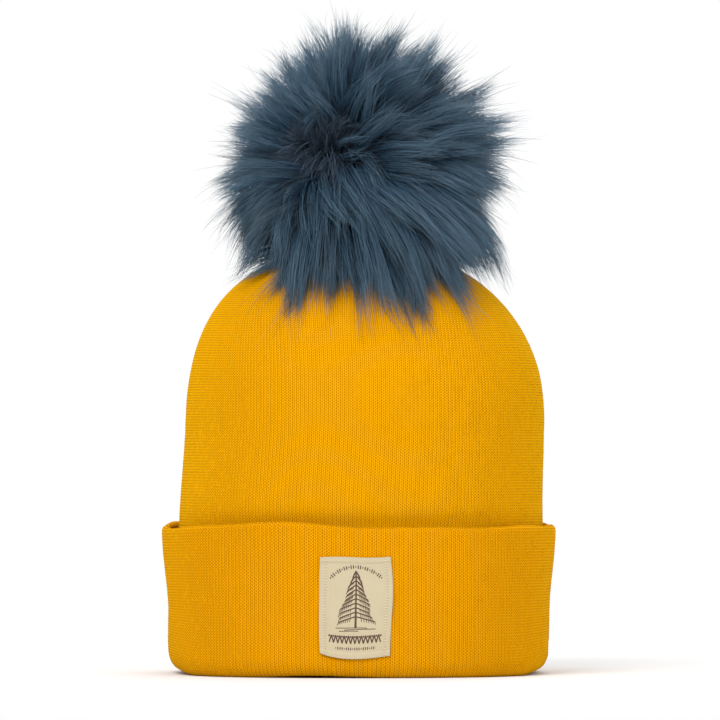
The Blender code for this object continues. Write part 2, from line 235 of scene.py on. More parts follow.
def thread_material(name, colour):
    """Twisted thread."""
    shader = Shader(name, 0.7)
    shader.grain(shader.noise(1500, 2, (1, 1, 0.3)), 0.6, colour, 0.4, 0.1 * MM)
    return shader.made


def woven_material(name, colour, pitch, contrast=0.16):
    """Plain weave of fine yarns this far apart, a little uneven."""
    shader = Shader(name, 0.8)
    x, _, z = shader.parts(shader.place())
    turns = [shader.maths("MULTIPLY", part, 2 * math.pi / pitch) for part in (x, z)]
    waves = [shader.maths("SINE", turn) for turn in turns]
    weave = shader.maths("MULTIPLY_ADD", shader.maths("MULTIPLY", *waves), 0.5, 0.5)
    slub = shader.noise(900, 3, (1, 1, 0.15))
    height = shader.maths("MULTIPLY_ADD", slub, 0.8, weave)
    shader.mottle(shader.range(height, 0.1, 1.5), 1 - 2.2 * contrast, colour)
    shader.bump(height, 0.45, 0.12 * MM)
    shader.put("Sheen Weight", 0.15)
    return shader.made


def felt_material(name, colour, bloom=0.4):
    """Matted fibres."""
    shader = Shader(name, 0.95)
    shader.grain(shader.noise(1400, 6), 0.5, colour, 0.8, 0.3 * MM)
    shader.put("Sheen Weight", bloom)
    return shader.made


def metal_material(name, colour):
    """Pressed, plated steel with fine rubbing marks."""
    shader = Shader(name, 0.25, 1.0)
    rub = shader.noise(700, 5, (1, 1, 6))
    shader.grain(rub, 0.75, colour, 0.15, 0.05 * MM)
    shader.put("Roughness", shader.maths("MULTIPLY_ADD", rub, 0.25, 0.18))
    return shader.made


def plastic_material(name, colour):
    """Moulded plastic with a fine spark-eroded grain."""
    shader = Shader(name, 0.45)
    grain = shader.noise(3000, 2)
    shader.grain(grain, 0.8, colour, 0.3, 0.05 * MM)
    shader.put("Roughness", shader.maths("MULTIPLY_ADD", grain, 0.2, 0.35))
    return shader.made


def hair_material(name, root, middle, tip):
    """Hair that is dark at its root and greyer at its tip, each strand a little different; each lock is
    also paler the less it faces the front, which is painted light along the ball's outline.
    """
    shader = Shader(name, 0.42)
    along, tone, lock = shader.attribute("strand")
    lower = shader.mix(shader.range(along, 0.0, 0.45), root, middle)
    colour = shader.mix(shader.range(along, 0.55, 1.0), lower, tip)
    strand_shade = shader.maths("MULTIPLY_ADD", tone, 0.8, 0.6)
    # Locks that face away from the front come out paler: painted light at the outline.
    lock_tone_and_painted_light = shader.maths("MULTIPLY_ADD", lock, 0.8, 0.62)
    shader.shade(colour, shader.maths("MULTIPLY", strand_shade, lock_tone_and_painted_light))
    shader.put("Specular IOR Level", 0.45)
    return shader.made


# ---- meshes ------------------------------------------------------------------------------


def place_object(name, data):
    made = bpy.data.objects.new(name, data)
    bpy.context.scene.collection.objects.link(made)
    return made


def piece(name, points, faces, material, stored=None, normals=None):
    """A smooth mesh from points and groups of faces with equal numbers of corners.

    stored is (name, values): three numbers for each point, which the material reads. normals, one
    for each point, keep the shading even where a surface goes on in the next piece.
    """
    mesh = bpy.data.meshes.new(name)
    counts = np.concatenate([np.full(len(group), group.shape[1]) for group in faces])
    corners = np.concatenate([np.ravel(group) for group in faces])
    mesh.vertices.add(len(points))
    mesh.vertices.foreach_set("co", np.asarray(points, np.float32).ravel())
    mesh.loops.add(len(corners))
    mesh.loops.foreach_set("vertex_index", corners.astype(np.int32))
    mesh.polygons.add(len(counts))
    starts = np.concatenate([[0], np.cumsum(counts)[:-1]])
    mesh.polygons.foreach_set("loop_start", starts.astype(np.int32))
    mesh.update(calc_edges=True)
    mesh.polygons.foreach_set("use_smooth", np.ones(len(counts), bool))
    if stored:
        layer = mesh.attributes.new(stored[0], "FLOAT_VECTOR", "POINT")
        layer.data.foreach_set("vector", np.asarray(stored[1], np.float32).ravel())
    if normals is not None:
        mesh.normals_split_custom_set_from_vertices(normals.astype(np.float32))
    mesh.materials.append(material)
    return place_object(name, mesh)


def grid_faces(grid):
    """Four-cornered faces between neighbouring rows and columns of point numbers."""
    return np.stack([grid[:-1, :-1], grid[:-1, 1:], grid[1:, 1:], grid[1:, :-1]], -1).reshape(-1, 4)


def rim_faces(fine, coarse, step):
    """Faces from a finely divided edge to a coarse one; each spans step fine lengths."""
    rows = []
    for i in range(len(coarse) - 1):
        rows.append(np.concatenate([fine[i * step : (i + 1) * step + 1], coarse[[i + 1, i]]]))
    return np.array(rows)


def slab(name, outer, inner, steps, material, stored=None, normals=None):
    """A closed sheet: a fine outer grid, and an inner one whose rows and columns are steps apart."""
    row_step, column_step = steps
    fine = numbered(outer)
    coarse = numbered(inner, fine.size)
    faces = [
        grid_faces(fine),
        grid_faces(coarse)[:, ::-1],
        rim_faces(fine[0], coarse[0], column_step)[:, ::-1],
        rim_faces(fine[-1], coarse[-1], column_step),
        rim_faces(fine[:, 0], coarse[:, 0], row_step),
        rim_faces(fine[:, -1], coarse[:, -1], row_step)[:, ::-1],
    ]
    if stored:
        stored = (stored[0], listed(stored[1], stored[1][::row_step, ::column_step]))
    if normals is not None:
        normals = listed(normals, -normals[::row_step, ::column_step])
    return piece(name, listed(outer, inner), faces, material, stored, normals)


def normals_of(grid, closed):
    """Unit normals of a grid of points whose columns go round; closed if they meet again."""
    if closed:
        round_it = np.roll(grid, -1, 1) - np.roll(grid, 1, 1)
    else:
        round_it = np.gradient(grid, axis=1)
    return unit(np.cross(round_it, np.gradient(grid, axis=0)))


def smooth_step(value, low, high):
    share = np.clip((value - low) / (high - low), 0, 1)
    return share * share * (3 - 2 * share)


def unit(vectors):
    return vectors / np.maximum(np.linalg.norm(vectors, axis=-1, keepdims=True), 1e-12)


def bell(value, centre, width):
    """1 at the centre, and hardly anything two widths away."""
    return np.exp(-(((value - centre) / width) ** 2))


def points_of(*parts):
    """A grid of points from its x, y and z, each a grid, a row, a column or a number."""
    return np.stack(np.broadcast_arrays(*parts), -1)


def turns(count):
    """Angles evenly round a circle."""
    return np.linspace(0, 2 * math.pi, count, endpoint=False)


def around(radius, turn, z):
    """Points at this distance from the middle axis, at these turns and heights."""
    return points_of(radius * np.cos(turn), radius * np.sin(turn), z)


def listed(*grids):
    """The points of all these grids in one list."""
    return np.concatenate([grid.reshape(-1, 3) for grid in grids])


def numbered(grid, first=0):
    """The numbers of a grid's points, when they are listed from this one on."""
    return first + np.arange(grid.shape[0] * grid.shape[1]).reshape(grid.shape[:2])


def arc(middle, sizes, start, end, count):
    """Points on an ellipse about its middle, between two angles in degrees."""
    turn = np.radians(np.linspace(start, end, count))
    return np.stack([middle[0] + sizes[0] * np.cos(turn), middle[1] + sizes[1] * np.sin(turn)], -1)


def lengths_along(path):
    """The length of a path up to each of its points."""
    return np.concatenate([[0], np.cumsum(np.linalg.norm(np.diff(path, axis=0), axis=1))])


def points_along(path, places):
    """The points at these lengths from a path's start."""
    run = lengths_along(path)
    return np.stack([np.interp(places, run, part) for part in path.T], -1)


def superellipse(share):
    """How far out a superellipse is on one axis, at this share of its half size on the other."""
    return (1 - np.abs(share) ** ROUNDNESS) ** (1 / ROUNDNESS)


def declare(made, body, node=None):
    """Puts a piece on its body and in place of its CAD node."""
    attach(made, body)
    if node:
        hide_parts(node)


def ring_slab(name, grid, thickness, material):
    """A closed sheet whose columns meet all the way round."""
    inner = grid - normals_of(grid, True) * thickness
    outside = numbered(grid)
    outside = np.concatenate([outside, outside[:, :1]], 1)
    inside = outside + grid.shape[0] * grid.shape[1]
    faces = [
        grid_faces(outside),
        grid_faces(inside)[:, ::-1],
        grid_faces(np.stack([inside[0], outside[0]])),
        grid_faces(np.stack([outside[-1], inside[-1]])),
    ]
    return piece(name, listed(grid, inner), faces, material)


def skins(name, rings, ends, material):
    """Closed skins, each over its own rings of points and closed on a point at each end."""
    count, rows, columns = rings.shape[:3]
    size = rows * columns + 2
    points = np.concatenate([rings.reshape(count, -1, 3), ends], 1).reshape(-1, 3)
    grid = numbered(rings[0])
    grid = np.concatenate([grid, grid[:, :1]], 1)
    start = np.stack([np.full(columns, size - 2), grid[0, 1:], grid[0, :-1]], -1)
    end = np.stack([np.full(columns, size - 1), grid[-1, :-1], grid[-1, 1:]], -1)
    step = (np.arange(count) * size)[:, None, None]
    faces = [(step + grid_faces(grid)).reshape(-1, 4)]
    faces.append((step + np.concatenate([start, end])).reshape(-1, 3))
    return piece(name, points, faces, material)


def threads(name, paths, radius, reference, material, sides=8):
    """Round threads along paths of points; none runs along the reference direction."""
    along = unit(np.gradient(paths, axis=1))
    across = unit(np.cross(along, reference))
    beside = np.cross(along, across)
    turn = turns(sides)[:, None]
    round_it = np.cos(turn) * across[:, :, None] + np.sin(turn) * beside[:, :, None]
    radius = np.broadcast_to(radius, paths.shape[:2])[..., None, None]
    rings = paths[:, :, None] + radius * round_it
    return skins(name, rings, paths[:, [0, -1]], material)


def stitches(name, centres, along, out, size, material):
    """A row of sewn stitches: along and out are each one's directions, size its length and radius."""
    length, radius = size
    share = np.linspace(-1, 1, 9)[None, :, None]
    paths = centres[:, None] + along[:, None] * share * length / 2
    paths = paths + out[:, None] * radius * (0.9 - 1.3 * share**2)
    thick = radius * np.sqrt(1 - 0.85 * share[..., 0] ** 4)
    return threads(name, paths, thick, np.cross(along, out)[:, None], material)


# ---- the knit ----------------------------------------------------------------------------

LEG_START = 0.08
LEG_SPREAD = 0.3
LEG_WIDTH = 0.17
COLUMNS_PER_WALE = 4
ROWS_PER_COURSE = 2
RELIEF = 0.3 * MM
TENSION = 0.16
BODY_WALES = 308
BODY_WALE = 1.94 * MM
BODY_COURSE = 1.36 * MM
BODY_FLAT = (0.1494, 0.259)
BODY_AREA = 0.031
CUFF_WALES = 304
CUFF_WALE = 2.1 * MM
CUFF_COURSE = 1.44 * MM
BACKING_START_Z = 9.5 * MM
BACKING_ROWS = 14
INNER_COLUMN_STEP = 14
INNER_ROW_STEP = 8
SIDE_SLANT = 3.1 * MM
SIDES = ("right", "back", "left", "front")
QUARTERS = ("back_right", "back_left", "front_left", "front_right")


def unit_section(count, half_width, half_depth):
    """Points evenly spaced round a superellipse, from the right side on, in half sizes."""
    angle = np.linspace(0, 2 * math.pi, 14401)
    across = np.abs(np.cos(angle) / half_width) ** ROUNDNESS
    along = np.abs(np.sin(angle) / half_depth) ** ROUNDNESS
    radius = (across + along) ** (-1 / ROUNDNESS)
    outline = np.stack([radius * np.cos(angle), radius * np.sin(angle)], -1)
    places = np.arange(count) / count * lengths_along(outline)[-1]
    section = (points_along(outline, places) / (half_width, half_depth)).T
    return section / (np.abs(section) ** ROUNDNESS).sum(0) ** (1 / ROUNDNESS)


def stitch_relief(wale, course, rng):
    """How far each point of the knit stands out, from -1 in the gaps to 1 on the yarn."""
    across = np.abs(wale % 1 - 0.5)
    leg = LEG_START + LEG_SPREAD * (course % 1)
    height = np.clip(1 - ((across - leg) / LEG_WIDTH) ** 2, -1, 1)
    uneven = rng.normal(0, TENSION, (int(course.max()) + 2, int(wale.max()) + 2))
    return height * (1 + uneven[course.astype(int), wale.astype(int)])


def stitch_places(shape, wales, course):
    """Each point's wale and course, and a zero, for a ring of knit."""
    wale = np.broadcast_to(np.arange(shape[1]) * wales / shape[1], shape)
    course = np.broadcast_to(np.asarray(course)[:, None], shape)
    return np.stack([wale, course, np.zeros(shape)], -1)


def cut_ring(name, outer, inner, places, material, steps=(1, 1), shading=None):
    """Cuts a ring of knit into four closed quarters and returns them."""
    columns = outer.shape[1]
    span = columns // len(QUARTERS)
    made = []
    for i, quarter in enumerate(QUARTERS):
        pick = np.arange(i * span, (i + 1) * span + 1) % columns
        shown = places[:, pick].copy()
        shown[:, -1, 0] = 2 * shown[:, -2, 0] - shown[:, -3, 0]
        shade = None if shading is None else shading[:, pick]
        back = inner[:: steps[0], pick[:: steps[1]]]
        named = f"{name}_{quarter}"
        made.append(slab(named, outer[:, pick], back, steps, material, ("stitch", shown), shade))
    return made


def knit_tube(name, base, wales, pitch, material, course, rng):
    """A ring of knit with every stitch raised from its smooth outer face, in four quarters.

    The rows of base go upwards and its columns round; course is the course at each row.
    """
    normal = normals_of(base, True)
    places = stitch_places(base.shape[:2], wales, course)
    spacing = np.linalg.norm(np.roll(base, -1, 1) - base, axis=2) * base.shape[1] / wales
    crowding = np.clip(spacing / pitch, 0, 1)
    out = stitch_relief(places[..., 0], places[..., 1], rng) * crowding
    outer = base + normal * (out * RELIEF)[..., None]
    steps = (INNER_ROW_STEP, INNER_COLUMN_STEP)
    inner = base - normal * KNIT
    return cut_ring(name, outer, inner, places, material, steps, normals_of(outer, True))


def plain_tube(name, grid, wales, course, thickness, material):
    """A smooth ring of knit, in four quarters, for the layers that hardly show."""
    inner = grid - normals_of(grid, True) * thickness
    return cut_ring(name, grid, inner, stitch_places(grid.shape[:2], wales, course), material)


def declare_knit(parts, node, **cut):
    """Puts the quarters of a layer on the hat in place of the CAD node."""
    for part in parts:
        declare(part, "hat")
    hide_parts(node)


def side_slant(points):
    """Every layer's sides lean in towards the rim."""
    turn = np.arctan2(points[..., 0], -points[..., 1])
    below = 1 - smooth_step(points[..., 2], 30 * MM, CUFF_TOP_Z - 2 * MM)
    moved = points.copy()
    moved[..., 0] -= SIDE_SLANT * below * np.sin(turn) ** 3 * np.abs(np.sin(turn))
    return moved


def dome_curve(angle):
    """How far out and how far up the dome's profile is, each from 0 to 1."""
    radius = (np.cos(angle) ** ROUNDNESS + np.sin(angle) ** ROUNDNESS) ** (-1 / ROUNDNESS)
    return radius * np.cos(angle), radius * np.sin(angle)


HIDDEN_ROWS_Z = (9.3 * MM, 22 * MM, 35 * MM, 48 * MM)
KNIT_START_Z = 59 * MM


def body_profile(offset):
    """Rows up the body: half width, half depth, height, the dome's narrowing and the course."""
    fine = BODY_COURSE / ROWS_PER_COURSE
    wall = np.concatenate([HIDDEN_ROWS_Z, np.arange(KNIT_START_Z, SHOULDER_Z, fine)])
    angle = np.linspace(0, math.pi / 2, 4001)[:-1]
    out, up = dome_curve(angle)
    mean = (BODY_HALF_WIDTH + BODY_HALF_DEPTH) / 2
    steps = np.hypot(np.diff(out) * mean, np.diff(up) * DOME_RISE)
    run = np.concatenate([[0], np.cumsum(steps)])
    end = np.interp(-CROWN_HOLE_R / mean, -out, run)
    count = int(round(end / fine))
    count += -(len(wall) + count - 1) % INNER_ROW_STEP
    places = np.interp(np.linspace(0, end, count), run, angle)
    out, up = dome_curve(places)
    z = np.concatenate([wall, SHOULDER_Z + (DOME_RISE - offset) * up])
    narrow = np.concatenate([np.ones(len(wall)), out])
    flare = WALL_FLARE * (SHOULDER_Z - np.clip(z, CUFF_TOP_Z, SHOULDER_Z)) - offset
    course = np.arange(len(z)) / ROWS_PER_COURSE
    return (BODY_HALF_WIDTH + flare) * narrow, (BODY_HALF_DEPTH + flare) * narrow, z, narrow, course


DART_Z = 158 * MM
DART_REACH = 9 * MM
DART_LEAN = 0.75
DART_DEPTH = 1.2 * MM
DART_WIDTH = 1.5 * MM
GATHER_POWER = 3


def body_grid(offset, columns):
    """The body's smooth face. The wales rise straight up front and back and crowd into the darts."""
    wide, deep, z, narrow, course = (row[:, None] for row in body_profile(offset))
    section = unit_section(columns, BODY_HALF_WIDTH, BODY_HALF_DEPTH)
    reach = np.abs(section[0]) / narrow
    crowd = (1 + (1 - narrow**GATHER_POWER) * reach**GATHER_POWER) ** (1 / GATHER_POWER)
    lean = DART_LEAN * smooth_step(z, DART_Z, CROWN_Z)
    across = np.clip(reach / crowd, 0, 1)
    across = across * (1 - lean * bell(across * wide, 0, DART_REACH))
    x = np.sign(section[0]) * across * wide
    y = np.sign(section[1]) * superellipse(across) * deep
    return points_of(x, y, z), course[:, 0]


DENT = 0.45 * MM
HEM_TUCK = 2.4 * MM
TUCK_REACH = 6 * MM
# How far the body shifts to the right, and between which heights.
BODY_SHIFTS = (
    (1.2 * MM, 50 * MM, 76 * MM),
    (2.0 * MM, 76 * MM, 130 * MM),
    (-3.2 * MM, 140 * MM, 206 * MM),
)


def body_sag(grid):
    """The soft, uneven stand of the body: its lean, its dents, the pinched darts and the hem's tuck."""
    x, y, z = grid[..., 0], grid[..., 1], grid[..., 2]
    turn = np.arctan2(y, x)
    above = smooth_step(z, 60 * MM, 95 * MM) * (1 - 0.8 * smooth_step(z, 150 * MM, CROWN_Z))
    dent = np.sin(2 * turn + 0.7) * np.sin(z / (21 * MM)) + 0.6 * np.sin(5 * turn + z / (34 * MM))
    dent += 0.5 * np.sin(9 * turn - z / (26 * MM) + 1.1)
    out = DENT * dent * above
    near = np.minimum(np.abs(x), np.abs(y))
    pinch = smooth_step(z, DART_Z - 2 * MM, DART_Z + 6 * MM) * (1 - smooth_step(z, 202 * MM, 207 * MM))
    out -= DART_DEPTH * pinch * bell(near, 0, DART_WIDTH)
    out -= HEM_TUCK * bell(z, CUFF_TOP_Z, TUCK_REACH) * (y / BODY_HALF_DEPTH) ** 2
    moved = grid + normals_of(grid, True) * out[..., None]
    for shift, low, high in BODY_SHIFTS:
        moved[..., 0] += shift * smooth_step(z, low, high)
    return side_slant(moved)


def make_body(yarn):
    """The outer shell, in four quarters of real stitches."""
    grid, course = body_grid(0, BODY_WALES * COLUMNS_PER_WALE)
    rng = np.random.default_rng(SEED)
    parts = knit_tube("shell_knit", body_sag(grid), BODY_WALES, BODY_WALE, yarn, course, rng)
    declare_knit(parts, "outer_shell", flat=BODY_FLAT, held="stretched", area=BODY_AREA)


def make_lining(yarn):
    """The inner layer of the tube, which shows inside the opening."""
    grid, course = body_grid(LINING_OFFSET, BODY_WALES)
    grid, course = grid[::INNER_ROW_STEP], course[::INNER_ROW_STEP]
    parts = plain_tube("lining_knit", body_sag(grid), BODY_WALES, course, LINING_KNIT, yarn)
    declare_knit(parts, "lining", flat=BODY_FLAT, held="stretched", area=BODY_AREA)


COLUMNS_PER_EIGHTH = 64
DART_SEAM_DEPTH = 2.85 * MM
DART_SEAM_R = 0.62 * MM
OVERLOCK_PITCH = 1.3 * MM


def make_dart_seams(thread):
    """The overlocked seams of the darts, between the shell and the lining, an eighth of a turn apart."""
    grid = body_sag(body_grid(DART_SEAM_DEPTH, 8 * COLUMNS_PER_EIGHTH)[0])
    high = SEAM_HIGH.z - DART_SEAM_R
    rows = np.flatnonzero((grid[:, 0, 2] > SEAM_LOW.z) & (grid[:, 0, 2] < high))
    seams = []
    for side, quarter in zip(SIDES, QUARTERS):
        seams += [f"shell_dart_seam_{side}", f"lining_dart_seam_{quarter}"]
    for eighth, node in enumerate(seams):
        line = grid[rows, eighth * COLUMNS_PER_EIGHTH]
        places = np.arange(0, lengths_along(line)[-1], OVERLOCK_PITCH / 5)
        turn = eighth * math.pi / 4
        sideways = np.array((-math.sin(turn), math.cos(turn), 0))
        bulge = DART_SEAM_R * (1 + 0.22 * np.sin(2 * math.pi * places / OVERLOCK_PITCH))
        path = points_along(line, places)
        seam = threads(f"{node}_thread", path[None], bulge, sideways, thread)
        declare(seam, "hat", node)


def cuff_path():
    """The cuff's outer face in section, as (distance in from the cuff's side, height) rows.

    It comes down inside the head opening, rolls under the rim, climbs the front and folds over.
    """
    lead, roll, start = 12.7 * MM, 4.75 * MM, 9 * MM
    flat, hem, end = 3.2 * MM, 1.9 * MM, 66 * MM
    top = CUFF_TOP_Z - hem
    inner = np.linspace((lead, 12 * MM), (lead, roll), 6)[:-1]
    under = arc((roll + flat, roll), (roll, roll), 0, -90, 40)
    front = arc((roll, start), (roll, start), -90, -180, 60)
    wall = np.linspace((0, start), (0, top), 60)[1:-1]
    over = arc((hem, top), (hem, hem), 180, 0, 30)
    behind = np.linspace((2 * hem, top), (2 * hem, end), 6)[1:]
    path = np.concatenate([inner, under, front, wall, over, behind])
    length = lengths_along(path)[-1]
    count = int(length / CUFF_COURSE * ROWS_PER_COURSE)
    count += -(count - 1) % INNER_ROW_STEP
    return points_along(path, np.linspace(0, length, count))


def cuff_warp(grid, closed=True):
    """The soft cuff: a wavy top edge, and a rim that lifts at the two sides."""
    x, y, z = grid[..., 0], grid[..., 1], grid[..., 2]
    turn = np.degrees(np.arctan2(x, -y))
    high = 2.3 * bell(turn, -22, 17) - 1.2 * bell(turn, -75, 25)
    high += 0.7 * np.sin(np.radians(3 * turn + 40)) * smooth_step(np.abs(turn), 60, 110)
    low = 3 * smooth_step(np.abs(x), 0.82 * CUFF_HALF_WIDTH, CUFF_HALF_WIDTH) + bell(turn, -12, 12)
    lift = high * smooth_step(z, 30 * MM, CUFF_TOP_Z) + low * (1 - smooth_step(z, 0, 40 * MM))
    out = 0.4 * np.sin(np.radians(4 * turn + 30)) * np.sin(z / (20 * MM))
    out += 0.35 * np.sin(np.radians(11 * turn) + z / (15 * MM))
    out *= MM * smooth_step(z, 2 * MM, 14 * MM)
    moved = grid + normals_of(grid, closed) * out[..., None]
    moved[..., 2] += lift * MM
    return side_slant(moved)


def cuff_grid(columns):
    """The cuff's smooth face, rows along its section and columns round it."""
    path = cuff_path()
    section = unit_section(columns, CUFF_HALF_WIDTH, CUFF_HALF_DEPTH)
    x = section[0] * (CUFF_HALF_WIDTH - path[:, :1])
    y = section[1] * (CUFF_HALF_DEPTH - path[:, :1])
    return cuff_warp(points_of(x, y, path[:, 1:]))


def make_cuff(yarn):
    """The turned-up cuff, in four quarters of real stitches."""
    grid = cuff_grid(CUFF_WALES * COLUMNS_PER_WALE)
    course = np.arange(len(grid)) / ROWS_PER_COURSE
    rng = np.random.default_rng(SEED + 1)
    parts = knit_tube("cuff_knit", grid, CUFF_WALES, CUFF_WALE, yarn, course, rng)
    declare_knit(parts, "cuff_face", flat=(0.1596, 0.112), held="folded")


def make_cuff_backing(yarn):
    """The layer of the cuff that lies against the body."""
    section = unit_section(CUFF_WALES, CUFF_HALF_WIDTH, CUFF_HALF_DEPTH)
    z = np.linspace(BACKING_START_Z, BACKING_HIGH.z, BACKING_ROWS)[:, None]
    grid = cuff_warp(points_of(section[0] * BACKING_HIGH.x, section[1] * BACKING_HIGH.y, z))
    course = z[:, 0] / CUFF_COURSE
    parts = plain_tube("cuff_backing_knit", grid, CUFF_WALES, course, KNIT, yarn)
    declare_knit(parts, "cuff_backing", flat=(0.1596, 0.06), held="folded")


# ---- the labels --------------------------------------------------------------------------

LABEL_WIDTH = LABEL_HIGH.x - LABEL_LOW.x
LABEL_HEIGHT = LABEL_HIGH.z - LABEL_LOW.z
LABEL_STEPS = (150, 90)
LABEL_BACK_STEPS = (10, 10)
LABEL_LIFT = 0.95 * MM
LABEL_SHIFT = (0.5 * MM, 1.4 * MM)
LABEL_CLOTH = 0.35 * MM
HEM_HEIGHT = 2.6 * MM
STITCH_INSET = 2.6 * MM
STITCH_PITCH = 1.34 * MM
LABEL_STITCH = (1.25 * MM, 0.2 * MM)
PRINT_RISE = 0.05 * MM
TREE_TIERS = 11
CARE_CLOTH = 0.18 * MM
CARE_SWAY = 1.1 * MM
CARE_STITCHES = 13
CARE_STITCH = (1.2 * MM, 0.3 * MM)


class Label:
    """The cloth label on the cuff's front: its face, and places on it for stitches and print."""

    def __init__(self):
        rows, columns = LABEL_STEPS
        up = np.linspace(0, 1, rows + 1)[:, None]
        across = np.linspace(0, 1, columns + 1)[None]
        left = LABEL_LOW.x - 0.5 * MM * np.sin(math.pi * up**0.8)
        right = LABEL_HIGH.x + (0.4 * up + 1.2 * np.sin(math.pi * up**1.7)) * MM
        bottom = LABEL_LOW.z + (1.4 - 0.5 * across - 2.3 * np.sin(math.pi * across**0.75)) * MM
        top = LABEL_HIGH.z - (1.2 * (1 - across) - 0.3 * np.sin(2 * math.pi * across)) * MM
        x = left + (right - left) * across + LABEL_SHIFT[0]
        z = bottom + (top - bottom) * up + LABEL_SHIFT[1]
        y = -CUFF_HALF_DEPTH * superellipse(x / CUFF_HALF_WIDTH)
        base = cuff_warp(points_of(x, y, z), False)
        self.normal = normals_of(base, False)
        self.face = base + self.normal * self.relief(up, across)[..., None]

    @staticmethod
    def relief(up, across):
        """How far the cloth stands off the knit: folded hems, pulled in along the stitches."""
        end = np.minimum(up, 1 - up) * LABEL_HEIGHT
        side = np.minimum(across, 1 - across) * LABEL_WIDTH
        hem = 0.35 * (1 - smooth_step(end, HEM_HEIGHT - 0.5 * MM, HEM_HEIGHT + 0.5 * MM))
        pucker = 0.22 + 0.1 * np.sin(2 * math.pi * up * LABEL_HEIGHT / STITCH_PITCH)
        soft = 0.25 * np.sin(5.1 * up + 1.2) * np.sin(3.3 * across + 0.4)
        soft = soft + 0.12 * np.sin(17 * up + 5 * across)
        edge = 0.3 * (1 - smooth_step(side, 0, 1.6 * MM)) * np.sin(9 * up + 3 * across)
        return LABEL_LIFT + (hem + soft + edge - bell(side, STITCH_INSET, 0.8 * MM) * pucker) * MM

    def at(self, x, z):
        """Points on the face and its directions out there, for millimetres from its lower left."""
        rows, columns = LABEL_STEPS
        u = np.clip(np.asarray(x) * MM / LABEL_WIDTH, 0, 0.9999) * columns
        v = np.clip(np.asarray(z) * MM / LABEL_HEIGHT, 0, 0.9999) * rows
        i, j = v.astype(int), u.astype(int)
        v, u = (v - i)[..., None], (u - j)[..., None]
        found = []
        for grid in (self.face, self.normal):
            low = grid[i, j] * (1 - u) + grid[i, j + 1] * u
            high = grid[i + 1, j] * (1 - u) + grid[i + 1, j + 1] * u
            found.append(low * (1 - v) + high * v)
        return found[0], unit(found[1])


def curve(start, middle, end, count=9):
    """Points on a parabola that leaves start for middle and arrives at end."""
    share = np.linspace(0, 1, count)[:, None]
    start, middle, end = (np.array(point, float) for point in (start, middle, end))
    return (1 - share) ** 2 * start + 2 * share * (1 - share) * middle + share**2 * end


def line(start, end):
    return curve(start, (np.array(start) + np.array(end)) / 2, end)


def fir_tree(foot, top, spread):
    """Pen strokes of a fir tree, each with its width in millimetres."""
    x, low = foot
    drawn = [(line((x, low - 3.6), (x, top)), 0.75)]
    drawn.append((line((x + 0.45, low - 3.4), (x + 0.3, low + 5)), 0.4))
    for tier in range(TREE_TIERS):
        share = tier / TREE_TIERS
        z = low + (top - low) * share
        reach = spread * (1 - share) ** 0.9 + 0.7
        for side in (-1, 1):
            sway = reach * (1 + 0.09 * math.sin(5 * tier + side))
            tip = (x + side * sway, z - 1.1)
            branch = curve((x, z + 1.9), (x + side * 0.6 * sway, z + 0.5), tip)
            drawn.append((branch, 0.6))
            for needle in range(2, 9):
                start = branch[needle]
                drop = 1.55 - 0.05 * tier + 0.3 * math.sin(7 * needle + tier)
                drawn.append((line(start, start + (side * 0.35 - 0.1, -drop)), 0.34))
    for row, (left, right) in enumerate(((-9, 5.5), (-5, 9.5), (-7.5, 1.5))):
        z = low - 3.9 - 0.75 * row
        drawn.append((curve((x + left, z), (x, z + 0.7), (x + right, z + 0.1)), 0.36))
    return drawn


def printed_marks():
    """A plain winter ornament: an arch of ticks, a fir tree, a zigzag band and a row of ticks.

    Places and widths are in millimetres, from the label's lower left corner.
    """
    middle = 16.7
    drawn = fir_tree((middle, 18.6), 42.2, 7.7)
    for i in range(25):
        turn = math.radians(90 - (i - 12) * 4.1)
        tall = 1.7 if i % 3 else 0.7
        out = np.array((math.cos(turn), math.sin(turn)))
        centre = np.array((middle, 28.6)) + 15.4 * out
        drawn.append((line(centre - out * tall / 2, centre + out * tall / 2), 0.52))
    for i in range(13):
        x = middle - 12 + 2 * i
        if i < 12:
            peak = (x + 1, 11.2)
            drawn += [(line((x, 7.4), peak), 0.62), (line(peak, (x + 2, 7.4)), 0.62)]
        drawn.append((line((x - 0.4, 10.7), (x + 0.4, 10.7)), 0.85))
    for i in range(19):
        tall = 1.3 if i % 4 else 0.6
        x = middle - 9 + i
        drawn.append((line((x, 4.9 - tall / 2), (x, 4.9 + tall / 2)), 0.48))
    return drawn


def make_print(label, ink):
    """The label's print as thin strokes on the cloth."""
    drawn = printed_marks()
    flat = np.stack([stroke for stroke, _ in drawn])
    width = np.array([width for _, width in drawn])[:, None, None] * MM / 2
    points, out = label.at(flat[..., 0], flat[..., 1])
    across = np.cross(out, unit(np.gradient(points, axis=1)))
    corners = ((1, 1), (-1, 1), (-1, -1), (1, -1))
    rings = [points + side * width * across + rise * PRINT_RISE * out for side, rise in corners]
    made = skins("label_print", np.stack(rings, 2), points[:, [0, -1]], ink)
    declare(made, "hat")
    return made


def make_label(cloth, thread, ink):
    """The front label with its folded hems, its print and the stitches down both sides."""
    label = Label()
    back = label.face - label.normal * LABEL_CLOTH
    back = back[:: LABEL_BACK_STEPS[0], :: LABEL_BACK_STEPS[1]]
    made = slab("label_cloth", label.face, back, LABEL_BACK_STEPS, cloth)
    with_it = [make_print(label, ink)]
    z = np.arange(1.1, LABEL_HEIGHT / MM - 0.8, STITCH_PITCH / MM)
    left, right = STITCH_INSET / MM, (LABEL_WIDTH - STITCH_INSET) / MM
    for side, x, slope in (("left", left, 0.32), ("right", right, -0.32)):
        centres, out = label.at(np.full(len(z), x), z)
        ahead, _ = label.at(np.full(len(z), x + 1), z + slope)
        along = unit(ahead - centres)
        sewn = stitches(f"label_stitches_{side}", centres, along, out, LABEL_STITCH, thread)
        declare(sewn, "hat", f"label_thread_{side}")
        with_it.append(sewn)
    declare(made, "hat", "front_label")


